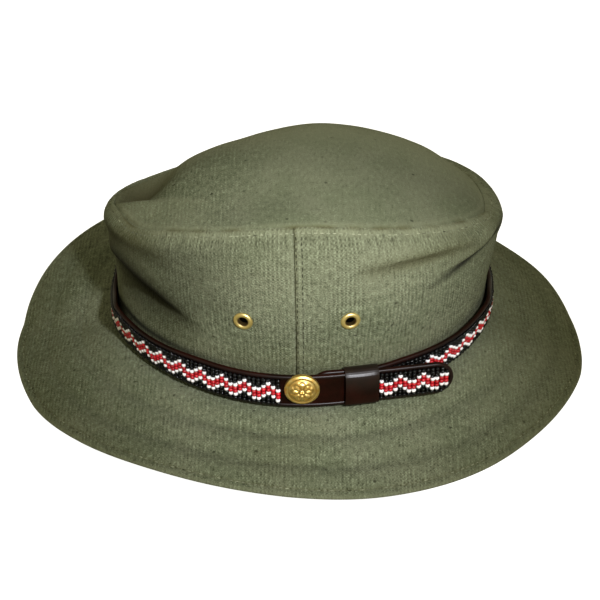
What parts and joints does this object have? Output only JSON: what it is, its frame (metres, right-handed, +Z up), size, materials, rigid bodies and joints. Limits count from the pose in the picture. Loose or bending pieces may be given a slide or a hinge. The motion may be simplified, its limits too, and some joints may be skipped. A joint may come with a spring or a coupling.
{
  "type": "bush hat",
  "caption": "Soft canvas bush hat with a slumped crown, a wavy stitched brim and a beaded leather band held by a keeper and a brass stud.",
  "frame": {"origin": "on the surface the hat rests on, under the middle of its box", "axes": "+Z up, -X the front of the hat, -Y its left side, where the band fastens"},
  "size_m": [0.3033, 0.2729, 0.1259],
  "materials": {
    "canvas": "worn olive canvas with an upright rib",
    "thread": "olive sewing thread",
    "leather": "polished dark brown leather",
    "beads_black": "glossy black seed beads",
    "beads_white": "glossy white seed beads",
    "beads_red": "glossy red seed beads",
    "brass": "polished, slightly worn brass"
  },
  "bodies": {
    "root": {"crown_front_panel": "canvas", "crown_back_panel": "canvas", "crown_top": "canvas", "brim": "canvas", "band_strap": "leather", "band_keeper": "leather", "beadwork_loop": "beads_black", "beadwork_tab": "beads_black", "band_stud": "brass", "eyelet_left_front": "brass", "eyelet_left_back": "brass", "eyelet_right_front": "brass", "eyelet_right_back": "brass"}
  },
  "joints": []
}
